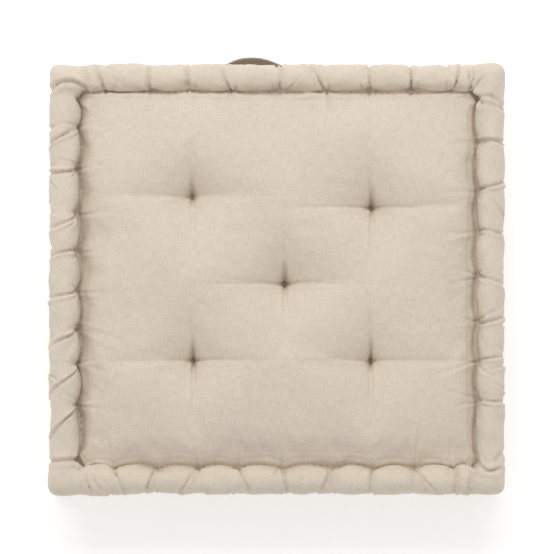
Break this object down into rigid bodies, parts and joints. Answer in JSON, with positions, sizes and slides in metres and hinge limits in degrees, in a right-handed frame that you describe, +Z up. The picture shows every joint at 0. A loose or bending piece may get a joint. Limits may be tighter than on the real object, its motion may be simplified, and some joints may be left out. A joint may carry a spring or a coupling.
{
  "type": "floor cushion",
  "caption": "Square tufted floor cushion with stitched rolled edges round both faces, a soft border and a carrying handle at the back.",
  "frame": {"origin": "on the floor, under the middle of the whole object with its handle hanging at rest", "axes": "+Z up through the cushion's thickness, +X along the wider pair of sides, +Y towards the side that carries the handle"},
  "size_m": [0.45, 0.4318, 0.1],
  "materials": {
    "cover_cotton": "matt plain-woven cotton, light beige",
    "handle_cotton": "matt woven cotton strap, darker beige",
    "filling_fibre": "loose off-white fibre",
    "stitching_thread": "matt twisted thread and twine"
  },
  "bodies": {
    "cushion": {"top_panel": "cover_cotton", "bottom_panel": "cover_cotton", "border_front": "cover_cotton", "border_right": "cover_cotton", "border_back": "cover_cotton", "border_left": "cover_cotton", "filling_core": "filling_fibre", "upper_roll_wadding_front": "filling_fibre", "upper_roll_wadding_right": "filling_fibre", "upper_roll_wadding_back": "filling_fibre", "upper_roll_wadding_left": "filling_fibre", "lower_roll_wadding_front": "filling_fibre", "lower_roll_wadding_right": "filling_fibre", "lower_roll_wadding_back": "filling_fibre", "lower_roll_wadding_left": "filling_fibre", "upper_edge_thread": "stitching_thread", "lower_edge_thread": "stitching_thread", "tuft_tie_centre": "stitching_thread", "tuft_tie_back_left": "stitching_thread", "tuft_tie_back_right": "stitching_thread", "tuft_tie_front_left": "stitching_thread", "tuft_tie_front_right": "stitching_thread", "handle_box_stitch_left": "stitching_thread", "handle_box_stitch_right": "stitching_thread", "handle_end_left": "handle_cotton", "handle_end_right": "handle_cotton"},
    "handle": {"handle_loop": "handle_cotton"}
  },
  "joints": [
    {"name": "handle_swing", "type": "hinge", "parent": "cushion", "child": "handle", "pos_m": [-0.02, 0.19863, 0.046], "axis": [1, 0, 0], "range_deg": [-15, 55]}
  ]
}
